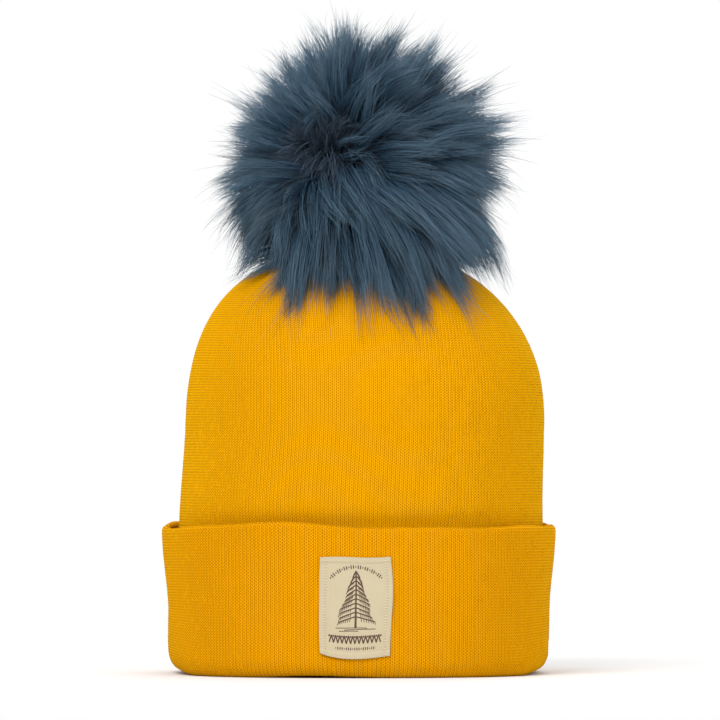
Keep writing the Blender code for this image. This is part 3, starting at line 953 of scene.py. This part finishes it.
def make_care_label(cloth, thread):
    """The care label inside the back: a folded loop of satin, and the stitches above it."""
    half = (CARE_HIGH.y - CARE_LOW.y) / 2
    fold_z = CARE_LOW.z + half
    down = np.linspace((CARE_LOW.y, CARE_HIGH.z), (CARE_LOW.y, fold_z), 25)[:-1]
    under = arc((CARE_LOW.y + half, fold_z), (half, half), 180, 360, 9)
    up = np.linspace((CARE_HIGH.y, fold_z), (CARE_HIGH.y, CARE_HIGH.z), 25)[1:]
    path = np.concatenate([down, under, up])
    x = np.linspace(CARE_HIGH.x, CARE_LOW.x, 31)
    grid = points_of(x, path[:, :1], path[:, 1:])
    hang = (CARE_HIGH.z - grid[..., 2]) / (CARE_HIGH.z - CARE_LOW.z)
    grid[..., 1] -= CARE_SWAY * hang**2 * (1 + 0.5 * np.cos(x / CARE_HIGH.x * 2.4))
    inner = grid - normals_of(grid, False) * CARE_CLOTH
    made = slab("care_label_loop", grid, inner, (1, 1), cloth)
    declare(made, "care_tag", "care_label")
    middle = (CARE_SEAM_LOW + CARE_SEAM_HIGH) / 2
    x = CARE_SEAM_HIGH.x * np.linspace(-0.9, 0.9, CARE_STITCHES)
    along, out = (np.tile(way, (CARE_STITCHES, 1)) for way in ((1.0, 0, 0), (0, -1.0, 0)))
    centres = points_of(x, middle.y, middle.z)
    sewn = stitches("care_label_stitches", centres, along, out, CARE_STITCH, thread)
    declare(sewn, "hat", "care_label_thread")


# ---- the crown's fastening and the pompom's inside ---------------------------------------

METAL_NODES = ("snap_post", "snap_socket", "snap_ring", "snap_stud", "snap_stud_cap")
FELT = 0.75 * MM
BALL_CLOTH = 1.3 * MM
GATHERS = 24
NECK_TOP_Z = BALL_LOW.z + 0.5 * MM


def finish_hardware(steel, plastic):
    """The press stud and the disc keep their shape and get their finish."""
    for node in METAL_NODES + ("pompom_base_disc",):
        chosen = plastic if node == "pompom_base_disc" else steel
        for slot in bpy.data.objects[node].material_slots:
            slot.material = chosen


def make_felt(felt):
    """The felt disc under the crown, which follows the dome; its edge is cut by hand."""
    turn = turns(96)[None]
    share = np.linspace(0, 1, 14)[:, None]
    edge = FELT_HIGH.x * (1 - 0.012 * (1 + np.sin(7 * turn + 1)) - 0.008 * (1 + np.sin(13 * turn)))
    radius = CROWN_HOLE_R + (edge - CROWN_HOLE_R) * share
    z = FELT_HIGH.z - DOME_RISE * (1 - superellipse(radius / BODY_HALF_DEPTH)) - FELT
    made = ring_slab("felt_disc", around(radius, turn, z), FELT, felt)
    declare(made, "hat", "crown_reinforcement")


def ball_rings(angles, radius, ripple):
    """Rings round the ball's axis at these angles from its top; ripple is added to each radius."""
    turn = -turns(120)[None]
    angles = angles[:, None]
    out = radius + ripple(angles, turn)
    return around(out * np.sin(angles), turn, BALL_CENTRE[2] + out * np.cos(angles))


def gathers(angles, turn):
    """Folds of gathered cloth, which deepen towards the mouth under the ball."""
    deep = smooth_step(angles, math.radians(95), math.radians(155))
    return -0.7 * MM * deep * (1 - np.sin(GATHERS * turn + 1.5 * np.sin(3 * turn)))


def lumps(angles, turn):
    """The uneven surface of loose filling."""
    uneven = np.sin(3 * turn + 4 * angles) * np.sin(5 * angles) + np.sin(7 * turn - 3 * angles)
    return -0.35 * MM * (2 - uneven) * np.sin(angles)


def make_ball(cloth, filling, thread):
    """The gathered circle of fur fabric with its filling, its thread and its soft neck."""
    cover = make_ball_cover(cloth)
    make_filling(filling)
    make_gathering_stitch(thread)
    neck = make_neck(cloth)
    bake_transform(neck)


def make_ball_cover(cloth):
    mouth = math.pi - math.asin((GATHER_HIGH.x - 1.2 * MM) / BALL_R)
    angles = np.linspace(0.02, mouth, 60)
    outer = ball_rings(angles, BALL_R, gathers)
    inner = ball_rings(angles[::-1], BALL_R - BALL_CLOTH, gathers)
    top = BALL_CENTRE + (0, 0, BALL_R)
    ends = np.stack([top, top - (0, 0, BALL_CLOTH)])
    cover = skins("fur_backing_cloth", np.concatenate([outer, inner])[None], ends[None], cloth)
    declare(cover, "pompom", "fur_backing")
    return cover


def make_filling(filling):
    radius, floor = STUFFING_HIGH.x, STUFFING_LOW.z
    rings = ball_rings(np.linspace(0.03, math.pi - 0.03, 50), radius, lumps)
    rings[..., 2] = np.maximum(rings[..., 2], floor)
    ends = np.stack([BALL_CENTRE + (0, 0, radius), np.array((0, 0, floor))])
    pad = skins("filling", rings[None], ends[None], filling)
    declare(pad, "pompom", "pompom_stuffing")


def make_gathering_stitch(thread):
    turn = np.linspace(0, 2 * math.pi, 400)
    middle = (GATHER_LOW.z + GATHER_HIGH.z) / 2
    out = GATHER_HIGH.x - 0.75 * MM + 0.25 * MM * np.sin(GATHERS * turn)
    path = around(out, turn, middle + 0.15 * MM * np.cos(GATHERS * turn))
    drawn = threads("gathering_stitch", path[None], 0.25 * MM, np.array((0, 0, 1.0)), thread)
    declare(drawn, "pompom", "gathering_thread")


def make_neck(cloth):
    turn = turns(144)[None]
    share = np.linspace(0, 1, 9)[:, None]
    low = DISC_LOW.z + 0.3 * MM
    folds = 0.3 * MM * (1 + np.sin(GATHERS * turn)) * (0.3 + share)
    out = DISC_HIGH.x + 0.35 * MM - 0.8 * MM * np.sin(math.pi * share) + folds
    grid = around(out, turn, low + (NECK_TOP_Z - low) * share)
    return ring_slab("fur_backing_neck", grid, 0.25 * MM, cloth)


# ---- the pompom's hair -------------------------------------------------------------------

LOCKS = 600
TUFT_COUNT = 240
SUB_LOCKS = 7
STRANDS_PER_SUB_LOCK = 14
LOCK_STEPS = 24
HAIR = 46 * MM
HAIR_WIDTH = 0.29 * MM
LOCK_FOOT = 3.6 * MM
SUB_LOCK_FOOT = 1.4 * MM
SUB_WANDER = 2.6 * MM
STRAND_WANDER = 1.1 * MM
STRANDS_PER_PIECE = 5800
PARTING = np.array((-0.5, -0.8, 0.28))
MOUTH_Z = -0.86
CLEARANCE = 2.0 * MM
SKIRT_REACH = 12 * MM
AIM_SPREAD = 0.28
BACK_BEND, FRONT_BEND, BEND_SPREAD = 16, 66, 10
PULL = 1.1
LOCK_LIFT = 5 * MM
TUFT_LENGTHS = (0.82, 1.12)
FRONT_STRETCH = 1.95
FORWARD, DOWN, SAG = 0.5, 1.15, 0.12
LOOSE = 0.1
UNDERCOAT_LOCKS = 480
UNDERCOAT_LENGTH = 0.52 * HAIR
PARTING_LENGTH = 0.62 * HAIR
WISPS = 0.06
WISP_REACH = (0.05, 0.25)
BARE_COSINE = 0.948
ROOT_R = BALL_R - 0.5 * MM
STRAND_WAVE = 0.8 * MM
STRAND_LIFT = 1.2 * MM
STRAND_TAPER = np.array((0.9, 1.0, 1.0, 0.85, 0.6, 0.33))
RING_PLACES = np.array((0.0, 0.17, 0.36, 0.56, 0.75, 0.9, 1.0))

# Tufts that stand out of the ball: direction across and up, how wide, and how much longer.
TUFTS = (
    (-0.2, 0.98, 0.12, 0.18),
    (-0.42, 0.91, 0.08, -0.08),
    (-0.74, 0.67, 0.16, -0.08),
    (-0.87, 0.5, 0.1, 0.1),
    (-0.99, -0.1, 0.12, 0.12),
    (-0.78, -0.62, 0.16, -0.12),
    (0.5, 0.86, 0.14, 0.08),
    (0.87, 0.5, 0.12, 0.1),
    (0.99, 0.1, 0.1, 0.12),
    (0.95, -0.31, 0.1, 0.16),
    (0.87, -0.5, 0.16, 0.08),
)

# Hollows where the hair parts and its dark depth shows: across, up and how wide.
HOLLOW_SHELL_R = 48 * MM
HOLLOW_DEPTH = 0.8
HOLLOWS = (
    (-17 * MM, 13 * MM, 12 * MM),
    (2 * MM, 25 * MM, 6 * MM),
    (11 * MM, 23 * MM, 6 * MM),
    (-17 * MM, -22 * MM, 5 * MM),
)


def even_directions(count, rng):
    """Directions spread evenly over a sphere, a little unevenly."""
    number = np.arange(count) + 0.5
    z = 1 - 2 * number / count
    spread = around(np.sqrt(1 - z * z), number * math.pi * (3 - math.sqrt(5)), z)
    return unit(spread + rng.normal(0, 0.035, spread.shape))


def crown_surface(points):
    """The least height that clears the crown however the pompom is turned."""
    out = np.clip(np.hypot(points[..., 0], points[..., 1]) / BODY_HALF_DEPTH, 0, 1)
    return SHOULDER_Z + DOME_RISE * superellipse(out) + CLEARANCE


def lay_on_crown(points, lift):
    """Lifts what would be inside the crown onto it, and this much higher."""
    points[..., 2] = np.maximum(points[..., 2], crown_surface(points) + lift)
    return points


def lock_roots(rng):
    """Where the long locks grow: all over, more densely below the front, not in the hollows."""
    root = even_directions(LOCKS, rng)
    more = even_directions(LOCKS, rng)
    root = np.concatenate([root, more[(more[:, 1] < -0.25) & (more[:, 2] < -0.05)]])
    chance = np.where(root @ unit(PARTING) > BARE_COSINE, 0.0, 1.0)
    seen = root * HOLLOW_SHELL_R
    for x, z, reach in HOLLOWS:
        hollow = np.exp(-((np.hypot(seen[:, 0] - x, seen[:, 2] - z) / reach) ** 2))
        chance = np.where(root[:, 1] < 0, chance * (1 - HOLLOW_DEPTH * hollow), chance)
    return root[rng.random(len(root)) < chance]


class Locks:
    """Locks of hair: where each one grows, and its path as it bends away from the parting."""

    def __init__(self, root, length, rng, bending=1.0):
        root = root[root[:, 2] > MOUTH_Z]
        tufts = even_directions(TUFT_COUNT, rng)
        nearest = np.argmax(root @ tufts.T, 1)
        front = np.clip(-root[:, 1], 0, 1)
        below = smooth_step(-root[:, 2], -0.25, 0.6)
        facing = root @ unit(PARTING)
        away = unit(root * facing[:, None] - unit(PARTING) + rng.normal(0, AIM_SPREAD, root.shape))
        away = unit(away - root * (away * root).sum(1, keepdims=True))
        turn = BACK_BEND + FRONT_BEND * front**1.1 + rng.normal(0, BEND_SPREAD, len(root))
        turn = np.radians(turn) * bending * (1 - 0.75 * smooth_step(-root[:, 2], 0.0, 0.6))
        self.root = root
        self.aim = away
        self.pull = (tufts[nearest] - root) * (PULL * rng.uniform(0.6, 1.2, (len(root), 1)))
        self.pull *= (1 + 1.5 * below + 1.1 * (1 - front) * (1 - below))[:, None]
        self.below = below
        self.front = front
        self.lift = rng.uniform(0, LOCK_LIFT, len(root)) * below
        self.side = unit(np.cross(root, away))
        tuft_length = rng.uniform(*TUFT_LENGTHS, TUFT_COUNT)[nearest]
        self.length = length * self.stretch(root) * tuft_length * rng.uniform(0.9, 1.06, len(root))
        self.length *= 1 + FRONT_STRETCH * below * front**2.5
        self.path, self.tangent = self.grow(turn)

    @staticmethod
    def stretch(root):
        """Tufts near the outline are longer, and so is the hair on the right."""
        longer = 1 + 0.09 * root[:, 0]
        level = np.hypot(root[:, 0], root[:, 2])
        for x, z, width, more in TUFTS:
            away = np.hypot(root[:, 0] / level - x, root[:, 2] / level - z) / width
            longer += more * np.exp(-(away**2)) * smooth_step(level, 0.6, 0.9)
        return longer

    def grow(self, turn):
        """Each lock's points and directions from its root to its tip."""
        here = BALL_CENTRE + self.root * ROOT_R
        outward = unit(self.root * (1, 1, 0))
        step = (self.length / LOCK_STEPS)[:, None]
        points, directions = [here], [self.root]
        for i in range(1, LOCK_STEPS + 1):
            share = i / LOCK_STEPS
            bend = turn * share**1.2
            going = np.cos(bend)[:, None] * self.root + np.sin(bend)[:, None] * self.aim
            drape = (self.below * share)[:, None]
            going = (1 - 0.6 * drape) * going + self.pull * share
            forward = FORWARD * (1 - share) * self.front[:, None]
            going += drape * (forward * outward - np.array((0, 0, DOWN * share)))
            going[:, 2] -= SAG * share
            before = here
            here = lay_on_crown(here + unit(going) * step, self.lift * share)
            here = lay_on_crown(before + unit(here - before) * step, self.lift * share)
            points.append(here)
            directions.append(unit(here - before))
        return np.stack(points, 1), np.stack(directions, 1)

    def at(self, lock, share):
        """Points and directions of these locks at these shares of their length."""
        spot = np.clip(share, 0, 1) * LOCK_STEPS
        low = np.minimum(spot.astype(int), LOCK_STEPS - 1)
        part = (spot - low)[..., None]
        pick = lock[:, None]
        points = self.path[pick, low] * (1 - part) + self.path[pick, low + 1] * part
        directions = unit(self.tangent[pick, low] * (1 - part) + self.tangent[pick, low + 1] * part)
        beyond = np.clip(share - 1, 0, None) * self.length[pick]
        return points + directions * beyond[..., None], directions


def in_disc(count, rng):
    """Points spread over a round area of radius 1."""
    turn = rng.uniform(0, 2 * math.pi, count)
    out = np.sqrt(rng.random(count))
    return np.stack([out * np.cos(turn), out * np.sin(turn)], -1)


def strand_paths(locks, strands, foot, loose, rng):
    """Points along every strand: (strand, ring, 3), with its lock and side direction."""
    count = len(locks.root)
    lock = np.repeat(np.arange(count), SUB_LOCKS * strands)
    sub = np.repeat(in_disc(count * SUB_LOCKS, rng), strands, axis=0)
    own = in_disc(len(lock), rng)
    reach = 1.05 - 0.42 * rng.random(len(lock)) ** 1.5
    reach = reach - 0.12 * (sub**2).sum(1) - 0.08 * (own**2).sum(1)
    reach += np.where(rng.random(len(lock)) < WISPS, rng.uniform(*WISP_REACH, len(lock)), 0)
    share = RING_PLACES[None] * reach[:, None]
    points, directions = locks.at(lock, share)
    side = locks.side[lock][:, None]
    across = unit(np.cross(side, directions))
    stray = np.where(rng.random(len(lock)) < loose, 2.6, 1.0)[:, None]
    wide = (1 + 1.2 * share) * (1 - 0.78 * share**2.2) * (1 + (stray - 1) * share)
    fine = (1 + 0.9 * share) * (1 - 0.8 * share**2) * stray
    offset = foot * sub[:, None] * wide[..., None] + SUB_LOCK_FOOT * own[:, None] * fine[..., None]
    astray = SUB_WANDER * np.repeat(rng.normal(0, 1, (count * SUB_LOCKS, 2)), strands, axis=0)
    astray *= (0.5 + 0.5 * locks.front[lock])[:, None]
    offset = offset + astray[:, None] * (share**1.6)[..., None]
    wander = rng.normal(0, 1, (len(lock), 1, 2)) * (share**1.5)[..., None]
    offset = offset + STRAND_WANDER * wander
    points = points + side * offset[..., :1] + across * offset[..., 1:]
    wave = np.sin(rng.uniform(0, 6, (len(lock), 1)) + share * rng.uniform(4, 9, (len(lock), 1)))
    points += side * (wave * share * STRAND_WAVE)[..., None]
    points[:, 0] = BALL_CENTRE + unit(points[:, 0] - BALL_CENTRE) * ROOT_R
    lift = rng.uniform(0, STRAND_LIFT, (len(lock), 1)) * share
    return lay_on_crown(points, lift), lock, side[:, 0]


def strand_mesh(name, points, side, width, values, material):
    """Closed, three-sided, tapering strands along their points."""
    count, rings = points.shape[0], points.shape[1] - 1
    tangent = unit(np.gradient(points, axis=1))[:, :rings]
    across = unit(np.cross(np.broadcast_to(side[:, None], tangent.shape), tangent))
    beside = unit(np.cross(tangent, across))
    half = (width[:, None] * STRAND_TAPER / 2)[..., None]
    corners = []
    for turn in np.radians((90, 210, 330)):
        corners.append(points[:, :rings] + half * (math.cos(turn) * across + math.sin(turn) * beside))
    ring = np.stack(corners, 2).reshape(count, rings * 3, 3)
    verts = np.concatenate([ring, points[:, rings:]], 1)
    sides = ((0, 1), (1, 2), (2, 0))
    last = 3 * (rings - 1)
    rungs = [3 * k for k in range(rings - 1)]
    quads = [(k + a, k + b, k + 3 + b, k + 3 + a) for k in rungs for a, b in sides]
    tips = [(last + a, last + b, last + 3) for a, b in sides] + [(2, 1, 0)]
    first = np.arange(count)[:, None] * verts.shape[1]
    faces = [np.concatenate([first + np.array(corner) for corner in group]) for group in (quads, tips)]
    stored = np.empty(verts.shape)
    stored[..., 0] = np.concatenate([np.repeat(RING_PLACES[:rings], 3), [1.0]])
    stored[..., 1:] = values[:, None]
    return piece(name, verts.reshape(-1, 3), faces, material, ("strand", stored.reshape(-1, 3)))


def add_hair(name, locks, strands, foot, loose, width, material, rng):
    """Grows strands on these locks. Those that come near the crown are the skirt, and rest on it."""
    points, lock, side = strand_paths(locks, strands, foot, loose, rng)
    # Half of each lock's paleness is random tone; the other half grows as the lock faces away from the
    # front, as painted light at the ball's outline.
    tone_and_painted_side_light = 0.5 * rng.random(len(locks.root)) + 0.5 * (1 - locks.front)
    tones = np.stack([rng.random(len(lock)), tone_and_painted_side_light[lock]], -1)
    widths = width * rng.uniform(0.7, 1.3, len(lock))
    skirt = (points[..., 2] - crown_surface(points)).min(1) < SKIRT_REACH
    made = []
    for part, chosen in (("ball", ~skirt), ("skirt", skirt)):
        picked = np.flatnonzero(chosen)
        if not len(picked):
            continue
        for i, group in enumerate(np.array_split(picked, -(-len(picked) // STRANDS_PER_PIECE))):
            values = (points[group], side[group], widths[group], tones[group])
            strand = strand_mesh(f"{name}_{part}_{i + 1}", *values, material)
            if part == "ball":
                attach(strand, "pompom")
            else:
                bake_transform(strand)
            made.append(strand)
    return made


def make_hair(material, dark):
    """Long guard hair over a short, dark undercoat, and dark hair in the parting; the undercoat and the
    parting hair are a darker copy of the guard hair, painted shade deep in the pile and in the parting.
    """
    rng = np.random.default_rng(SEED + 2)
    long_locks = Locks(lock_roots(rng), HAIR, rng)
    full = (STRANDS_PER_SUB_LOCK, LOCK_FOOT)
    top = add_hair("hair", long_locks, *full, LOOSE, HAIR_WIDTH, material, rng)
    short_locks = Locks(even_directions(UNDERCOAT_LOCKS, rng), UNDERCOAT_LENGTH, rng)
    add_hair("undercoat", short_locks, 6, 1.3 * LOCK_FOOT, 2 * LOOSE, 1.5 * HAIR_WIDTH, dark, rng)
    deep = even_directions(LOCKS, rng)
    deep = deep[deep @ unit(PARTING) > BARE_COSINE - 0.02]
    deep_locks = Locks(deep, PARTING_LENGTH, rng, 0.5)
    # The parting hair takes the darker copy, as painted shade in the parted hollow.
    add_hair("parting", deep_locks, *full, 2 * LOOSE, HAIR_WIDTH, dark, rng)
    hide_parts("fur_pile")


# ---- stage, light and camera -------------------------------------------------------------

VIEW_WIDTH = 352.8 * MM
VIEW_CENTRE = Vector((0.7 * MM, 0, 152.9 * MM))
CAMERA_DISTANCE = 6.0
SENSOR = 36.0
FLOOR_R = 0.7
FLOOR_Z = -0.3 * MM
FLOOR_SIDES = 64


def make_floor():
    """A round white floor under the object."""
    points = around(FLOOR_R, turns(FLOOR_SIDES), FLOOR_Z)
    shader = Shader("floor_white", 0.9)
    shader.put("Base Color", (0.72, 0.72, 0.72))
    piece("floor", points, [np.arange(FLOOR_SIDES)[None]], shader.made)


def make_light(name, place, size, power):
    """A square soft light that faces the middle of the object."""
    lamp = bpy.data.lights.new(name, "AREA")
    lamp.size = size
    lamp.energy = power
    made = place_object(name, lamp)
    made.location = place
    made.rotation_euler = (VIEW_CENTRE - Vector(place)).to_track_quat("-Z", "Y").to_euler()


def make_studio():
    """Even white surroundings, a large soft key from the front left and two weaker fills."""
    make_floor()
    world = bpy.data.worlds.new("studio")
    world.use_nodes = True
    surroundings = world.node_tree.nodes["Background"]
    surroundings.inputs["Color"].default_value = (1, 1, 1, 1)
    surroundings.inputs["Strength"].default_value = 1.0
    bpy.context.scene.world = world
    bpy.context.scene.view_settings.view_transform = "Standard"
    make_light("key", (-1.3, -3.0, 2.7), 2.0, 118)
    make_light("fill", (1.8, -2.6, 0.6), 1.6, 26)
    make_light("back", (0.6, 3.2, 1.8), 2.2, 40)


def make_camera():
    """A long lens straight at the front."""
    lens = bpy.data.cameras.new("camera")
    lens.sensor_width = SENSOR
    lens.lens = SENSOR * CAMERA_DISTANCE / VIEW_WIDTH
    lens.clip_end = 100
    made = place_object("camera", lens)
    made.location = VIEW_CENTRE - Vector((0, CAMERA_DISTANCE, 0))
    made.rotation_euler = (math.pi / 2, 0, 0)
    bpy.context.scene.camera = made


YARN_TOPS = (0.72, 0.341, 0.0)
# The cuff's yarn is a slightly darker, more orange copy of the body's: painted shade over the whole
# cuff.
CUFF_SHADED_TOPS = (0.7, 0.31, 0.0)
# The darker orange painted into the gaps between stitches, as shade.
YARN_SHADED_GAPS = (0.31, 0.09, 0.0)
HAIR_COLOURS = ((0.024, 0.028, 0.042), (0.032, 0.077, 0.128), (0.067, 0.126, 0.176))
# A darker, greyer copy of the hair colours: painted shade for the undercoat and the parting.
UNDERCOAT_SHADE_COLOURS = ((0.028, 0.034, 0.052), (0.037, 0.056, 0.088), (0.046, 0.076, 0.112))
SEAM_THREAD = (0.7, 0.28, 0.004)
CREAM_THREAD = (0.72, 0.6, 0.42)
PRINT_BROWN = (0.085, 0.04, 0.022)
CREAM_COTTON = (0.45, 0.385, 0.25)
SATIN_WHITE = (0.85, 0.84, 0.8)
STEEL = (0.62, 0.61, 0.58)
DARK_PLASTIC = (0.04, 0.045, 0.055)
FELT_GREY = (0.1, 0.1, 0.11)
FUR_CLOTH = (0.014, 0.014, 0.02)
FILLING_WHITE = (0.82, 0.82, 0.8)


def main():
    yarn = yarn_material("mustard_yarn", YARN_TOPS, YARN_SHADED_GAPS)
    make_body(yarn)
    make_lining(yarn)
    # The cuff gets a darker copy of the yarn, as painted shade.
    make_cuff(yarn_material("cuff_shaded_yarn", CUFF_SHADED_TOPS, YARN_SHADED_GAPS))
    make_cuff_backing(yarn)
    seam_thread = thread_material("mustard_thread", SEAM_THREAD)
    make_dart_seams(seam_thread)
    cream_thread = thread_material("cream_thread", CREAM_THREAD)
    ink = woven_material("brown_print", PRINT_BROWN, 0.45 * MM)
    cotton = woven_material("cream_cotton", CREAM_COTTON, 0.45 * MM, 0.06)
    make_label(cotton, cream_thread, ink)
    make_care_label(woven_material("white_satin", SATIN_WHITE, 0.3 * MM, 0.06), cream_thread)
    steel = metal_material("plated_steel", STEEL)
    finish_hardware(steel, plastic_material("dark_plastic", DARK_PLASTIC))
    make_felt(felt_material("grey_felt", FELT_GREY))
    backing = felt_material("fur_fabric", FUR_CLOTH, 0.05)
    make_ball(backing, felt_material("filling_fibre", FILLING_WHITE), seam_thread)
    make_hair(hair_material("hair", *HAIR_COLOURS), hair_material("undercoat", *UNDERCOAT_SHADE_COLOURS))
    make_camera()
    make_studio()


main()
